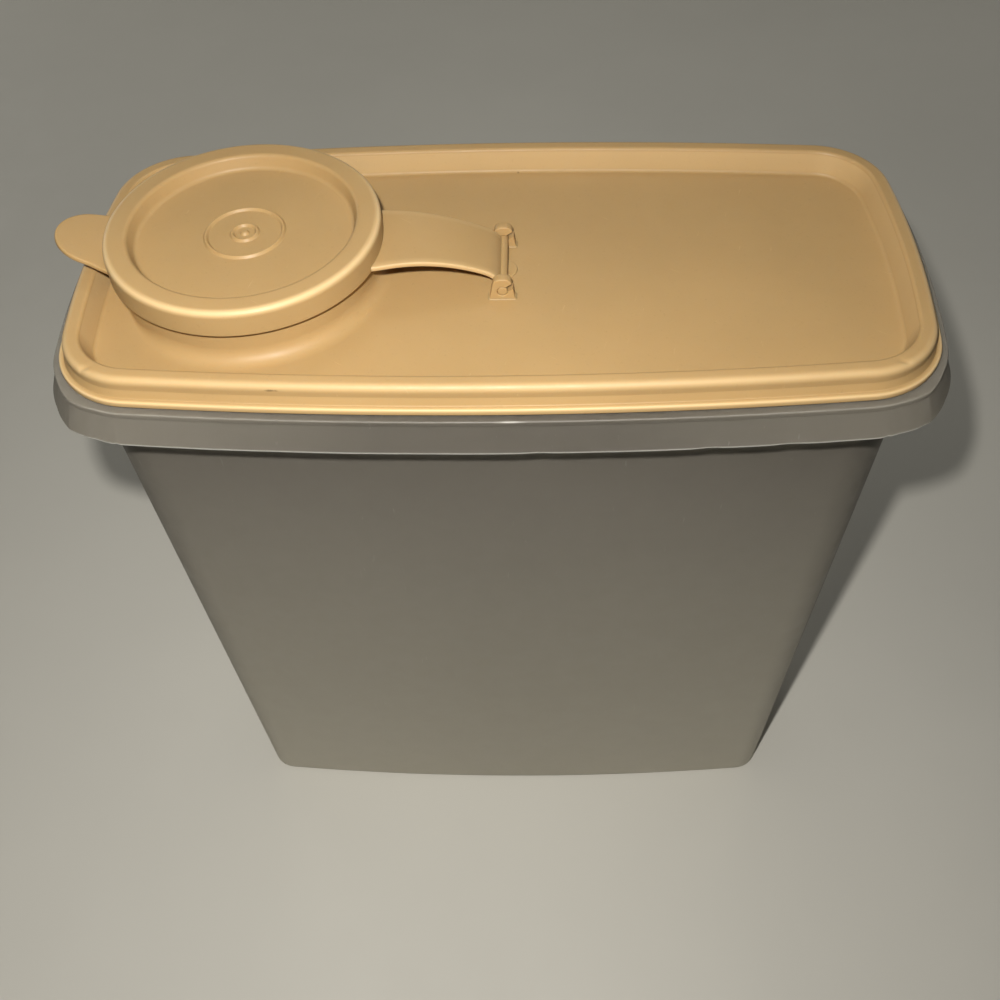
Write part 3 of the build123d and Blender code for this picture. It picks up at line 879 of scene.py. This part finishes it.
def flip_seal_shape(sizes):
    """The flip seal: a cap turned about the spout's axis, the tab, the strap and the hinge rod."""
    plug = SEAL_FLOOR - SEAL_WALL
    lean = (RIM_INNER - FLOOR_RADIUS) / (SEAL_TOP - SEAL_FLOOR)
    plug_top = RIM_INNER + SEAL_WALL - lean * (SEAL_TOP - SEAL_CEILING)
    plug_foot = plug_top - lean * (SEAL_CEILING - plug)
    top = SEAL_FLOOR + DISC_RISE
    cap = rounded(
        [
            (0.0, top, 0),
            (BOSS_TOP, top, 0.35),
            (BOSS_FOOT, SEAL_FLOOR, 0.25),
            *(corner for radius in RING_RADII for corner in raised_corners(radius)),
            (FLOOR_RADIUS, SEAL_FLOOR, 1.3),
            (RIM_INNER, SEAL_TOP, 1.2),
            (SEAL_RADIUS - SEAL_LEAN, SEAL_TOP, 1.8),
            (SEAL_RADIUS, SEAL_BOTTOM, 0.35),
            (SEAL_RADIUS - SEAL_WALL, SEAL_BOTTOM, 0.35),
            (SEAL_RADIUS - SEAL_WALL - SEAL_LEAN, SEAL_CEILING, 0.7),
            (plug_top, SEAL_CEILING, 0.5),
            (plug_foot, plug, 0.9),
            (0.0, plug, 0),
        ],
        steps=6,
    )
    rows = turned_rows(cap, np.linspace(0, 2 * math.pi, 361)[None, :-1])
    # Wear and a painted highlight are marked on the rim's outer round, and wear along the strap's
    # edges
    radius, height = cap[:, 0], cap[:, 1]
    rim = bell((radius - SEAL_RADIUS + 0.7) / 0.9, (height - SEAL_TOP + 0.4) / 0.9)
    shape = Shape()
    shape.surface(rows, mark=rim[:, None] * np.ones(rows.shape[1]))
    edge = sizes.plate_edge / MM
    strap = strap_rows(edge)
    across = np.abs(strap[..., 1]) / np.abs(strap[..., 1]).max(1)[:, None]
    wear_and_painted_light = np.pad(0.5 * smooth_step(0.9, 1.0, across), ((1, 1), (0, 0)), mode="edge")
    shape.surface(closed_ends(strap), mark=wear_and_painted_light)
    shape.surface(np.swapaxes(tab_rows(edge), 0, 1))
    rod = rounded(
        [(0.0, -ROD_END, 0), (ROD, -ROD_END, 0.35), (ROD, ROD_END, 0.35), (0.0, ROD_END, 0)],
        steps=6,
    )
    turn = np.linspace(0, 2 * math.pi, 49)[None, :-1]
    x, z = HINGE_X + rod[:, :1] * np.cos(turn), HINGE_Z + rod[:, :1] * np.sin(turn)
    shape.surface(np.stack([x, np.broadcast_to(rod[:, 1:], x.shape), z], 2))
    return shape


def closed_ends(rows):
    """The same rows with each end drawn together to its middle point, which closes the tube."""
    ends = [np.broadcast_to(row.mean(0), row.shape)[None] for row in (rows[0], rows[-1])]
    return np.concatenate([ends[0], rows, ends[1]])


# Settings


ROUGHNESS = {"subtype": "FACTOR", "min": 0.1, "max": 0.9}
POWER = {"unit": "POWER", "min": 0.0}


def number(name, description, default, **limits):
    """A setting with one number."""
    return bpy.props.FloatProperty(name=name, description=description, default=default, **limits)


def tint(name, description, default):
    """A setting with a colour, without alpha."""
    said = {"name": name, "description": description, "default": default}
    return bpy.props.FloatVectorProperty(**said, subtype="COLOR", size=3, min=0.0, max=1.0)


class KeeperSizes(bpy.types.PropertyGroup):
    """Small shapes that wear and moulding leave on the keeper."""

    nick_depth: number(
        "Skirt nick depth",
        "Deepest nick along the foot of the container's skirt",
        0.00045,
        min=0.0001,
        max=0.001,
        unit="LENGTH",
    )
    rim_dent: number(
        "Rim dent",
        "Depth of the dent at the lid rim's near left corner",
        0.0005,
        min=0.0,
        max=0.001,
        unit="LENGTH",
    )
    plate_edge: number(
        "Plate edge radius",
        "Rounding of the strap's and the tab's edges",
        0.0005,
        min=0.0001,
        max=0.0007,
        unit="LENGTH",
    )


class KeeperLooks(bpy.types.PropertyGroup):
    """Colours and gloss of the keeper's plastics and of the stage."""

    lid_colour: tint(
        "Lid colour", "Base colour of the lid's and the flip seal's plastic", (0.405, 0.263, 0.112)
    )
    # Colour of rubbed edges and scratches, also used for the lid's painted highlight and bounce
    # light
    lid_wear_and_light_colour: tint(
        "Worn lid colour", "Colour of the lid's rubbed edges and scratches", (0.80, 0.60, 0.33)
    )
    lid_gloss: number(
        "Lid roughness", "Middle roughness of the lid's satin surface", 0.48, **ROUGHNESS
    )
    container_colour: tint(
        "Container colour", "Tint of the container's milky plastic", (0.077, 0.069, 0.058)
    )
    # Colour of painted light on the container: near the base, at the corners, at the skirt's ends
    # and in the skirt's shadow
    container_painted_light_colour: tint(
        "Container pale colour",
        "Tint of the milky plastic near the base, at the corners and under the skirt",
        (0.45, 0.42, 0.345),
    )
    # Colour of rubbed edges and scuffs, also used for the container's painted edge light and glint
    container_edge_colour: tint(
        "Container edge colour", "Colour of the container's rubbed edges", (0.85, 0.83, 0.78)
    )
    container_gloss: number(
        "Container roughness",
        "Middle roughness of the container's milky surface",
        0.48,
        **ROUGHNESS,
    )
    # Strength of the pale marks: wear, and painted highlight, edge light and bounce light
    edge_wear_and_light: number(
        "Edge wear", "How strongly rubbed edges turn pale", 0.6, min=0.0, max=1.0, subtype="FACTOR"
    )
    floor_colour: tint(
        "Floor colour", "Colour of the pale floor and its backdrop", (0.575, 0.56, 0.505)
    )
    key_power: number(
        "Key light power", "Power of the light in front, beside the camera", 1.92, **POWER
    )
    overhead_power: number(
        "Overhead light power", "Power of the broad light overhead", 0.55, **POWER
    )
    back_power: number(
        "Back light power",
        "Power of the stronger of the two soft lights behind the keeper",
        1.0,
        **POWER,
    )
    backdrop_power: number(
        "Backdrop light power", "Power of the light on the floor behind the keeper", 0.9, **POWER
    )
    ambient: number("Ambient strength", "Strength of the even light from all round", 0.03, min=0.0)


# Operators


class KEEPER_OT_container(bpy.types.Operator):
    """Adds the container, with its skirt, ledge and upstand"""

    bl_idname = "keeper.container"
    bl_label = "Container"

    def execute(self, context):
        scene = context.scene
        material = container_plastic(scene.keeper_looks, "milky_container_plastic")
        shape = container_shape(scene.keeper_sizes)
        shape.build("container_moulding", material, "container", "container", "container_plastic")
        return {"FINISHED"}


class KEEPER_OT_lid(bpy.types.Operator):
    """Adds the lid, with its rim, sunk panel, pour spout and hinge ears"""

    bl_idname = "keeper.lid"
    bl_label = "Lid"

    def execute(self, context):
        scene = context.scene
        material = lid_plastic(scene.keeper_looks, "satin_lid_plastic")
        lid_shape(scene.keeper_sizes).build("lid_moulding", material, "lid", "lid", "lid_plastic")
        return {"FINISHED"}


class KEEPER_OT_flip_seal(bpy.types.Operator):
    """Adds the flip seal, with its lifting tab, strap and hinge rod"""

    bl_idname = "keeper.flip_seal"
    bl_label = "Flip seal"

    def execute(self, context):
        scene = context.scene
        material = lid_plastic(scene.keeper_looks, "satin_seal_plastic")
        shape = flip_seal_shape(scene.keeper_sizes)
        shape.build("flip_seal_moulding", material, "flip_seal", "flip_seal", "lid_plastic")
        return {"FINISHED"}


def cove():
    """Floor that curves up to a wall all round: a profile turned about the middle."""
    turn = np.linspace(0, math.pi / 2, 24)[1:]
    flat = np.stack([np.linspace(0, STAGE_REACH, 12), np.zeros(12)], 1)
    curve = STAGE_CURVE * np.stack([np.sin(turn), 1 - np.cos(turn)], 1) + [STAGE_REACH, 0]
    edge = STAGE_REACH + STAGE_CURVE
    wall = np.array([[edge, 1.0], [edge, STAGE_HEIGHT]])
    profile = np.concatenate([flat, curve, wall])
    return turned_rows(profile, np.linspace(0, 2 * math.pi, 121)[None, :-1], 0.0)


def add_floor(scene, looks):
    rows = cove()
    mesh = bpy.data.meshes.new("floor")
    mesh.from_pydata(rows.reshape(-1, 3).tolist(), [], grid_faces(*rows.shape[:2]).tolist())
    mesh.polygons.foreach_set("use_smooth", np.ones(len(mesh.polygons), bool))
    mesh.materials.append(floor_surface(looks, "pale_floor"))
    floor = bpy.data.objects.new("floor", mesh)
    scene.collection.objects.link(floor)


def area_light(scene, name, place, aim, size, power, tint, spread=180.0):
    """Adds a round lamp at a place, turned to its aim, that the camera doesn't see."""
    light = bpy.data.lights.new(name, "AREA")
    light.shape, light.size, light.energy, light.color = "DISK", size, power, tint
    light.spread = math.radians(spread)
    lamp = bpy.data.objects.new(name, light)
    lamp.location = place
    lamp.rotation_euler = (Vector(aim) - Vector(place)).to_track_quat("-Z", "Y").to_euler()
    lamp.visible_camera = False
    scene.collection.objects.link(lamp)


def add_lights(scene, looks):
    """Adds the key light beside the camera, soft lights above and behind, and an even surround."""
    warm, white, middle = (1, 0.97, 0.92), (1, 0.98, 0.92), (0, 0, 0.1)
    flash, near_corner, overhead = (-0.0066, -0.2371, 0.47), (-0.14, -0.03, 0.1), (-0.6, -0.1, 1.15)
    area_light(scene, "key", flash, near_corner, 0.012, looks.key_power, warm)
    area_light(scene, "overhead", overhead, middle, 0.6, looks.overhead_power, white)
    for name, x, share in (("left_back", -0.8, 1.0), ("right_back", 0.8, 0.6)):
        area_light(scene, name, (x, 0.85, 0.4), middle, 0.5, looks.back_power * share, white)
    above, behind = (0, 0.55, 1.0), (0, 0.65, 0)
    area_light(scene, "backdrop", above, behind, 0.4, looks.backdrop_power, white, spread=130.0)
    scene.world = bpy.data.worlds.new("soft_surround")
    scene.world.use_nodes = True
    background = scene.world.node_tree.nodes["Background"]
    background.inputs["Color"].default_value = (0.9, 0.95, 1.0, 1)
    background.inputs["Strength"].default_value = looks.ambient


def add_camera(scene):
    """Adds the camera, which looks along its yaw and pitch and is rolled about that line."""
    camera = bpy.data.cameras.new("camera")
    camera.sensor_width, camera.lens = SENSOR, SENSOR * FOCAL_PIXELS / FRAME_WIDTH
    camera.clip_start, camera.clip_end = 0.01, 20
    level, drop = math.cos(CAMERA_PITCH), math.sin(CAMERA_PITCH)
    ahead = Vector((math.sin(CAMERA_YAW) * level, math.cos(CAMERA_YAW) * level, -drop))
    flat = Vector((math.cos(CAMERA_YAW), -math.sin(CAMERA_YAW), 0))
    rise = flat.cross(ahead)
    right = flat * math.cos(CAMERA_ROLL) + rise * math.sin(CAMERA_ROLL)
    up = rise * math.cos(CAMERA_ROLL) - flat * math.sin(CAMERA_ROLL)
    holder = bpy.data.objects.new("camera", camera)
    turned = [(right[k], up[k], -ahead[k], CAMERA_PLACE[k]) for k in range(3)]
    holder.matrix_world = Matrix([*turned, (0, 0, 0, 1)])
    scene.collection.objects.link(holder)
    scene.camera = holder


class KEEPER_OT_stage(bpy.types.Operator):
    """Adds the pale floor, the soft lights and the camera at the photograph's angle"""

    bl_idname = "keeper.stage"
    bl_label = "Stage"

    def execute(self, context):
        scene = context.scene
        add_floor(scene, scene.keeper_looks)
        add_lights(scene, scene.keeper_looks)
        add_camera(scene)
        scene.view_settings.view_transform = "Standard"
        return {"FINISHED"}


OPERATORS = (KEEPER_OT_container, KEEPER_OT_lid, KEEPER_OT_flip_seal, KEEPER_OT_stage)


class KEEPER_PT_pieces(bpy.types.Panel):
    """Lists the keeper's pieces and its settings"""

    bl_idname = "KEEPER_PT_pieces"
    bl_label = "Food keeper"
    bl_space_type = "VIEW_3D"
    bl_region_type = "UI"
    bl_category = "Keeper"

    def draw(self, context):
        for operator in OPERATORS:
            self.layout.operator(operator.bl_idname)
        for group in (context.scene.keeper_sizes, context.scene.keeper_looks):
            for name in group.__annotations__:
                self.layout.prop(group, name)


CLASSES = (KeeperSizes, KeeperLooks, *OPERATORS, KEEPER_PT_pieces)


def register():
    """Registers the classes and hangs the settings on the scene."""
    for cls in CLASSES:
        bpy.utils.register_class(cls)
    bpy.types.Scene.keeper_sizes = bpy.props.PointerProperty(type=KeeperSizes)
    bpy.types.Scene.keeper_looks = bpy.props.PointerProperty(type=KeeperLooks)


def unregister():
    """Takes back what register did."""
    del bpy.types.Scene.keeper_looks
    del bpy.types.Scene.keeper_sizes
    for cls in reversed(CLASSES):
        bpy.utils.unregister_class(cls)


def main():
    """Registers the classes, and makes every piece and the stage."""
    register()
    bpy.ops.keeper.container()
    bpy.ops.keeper.lid()
    bpy.ops.keeper.flip_seal()
    bpy.ops.keeper.stage()


if __name__ == "__main__":
    main()
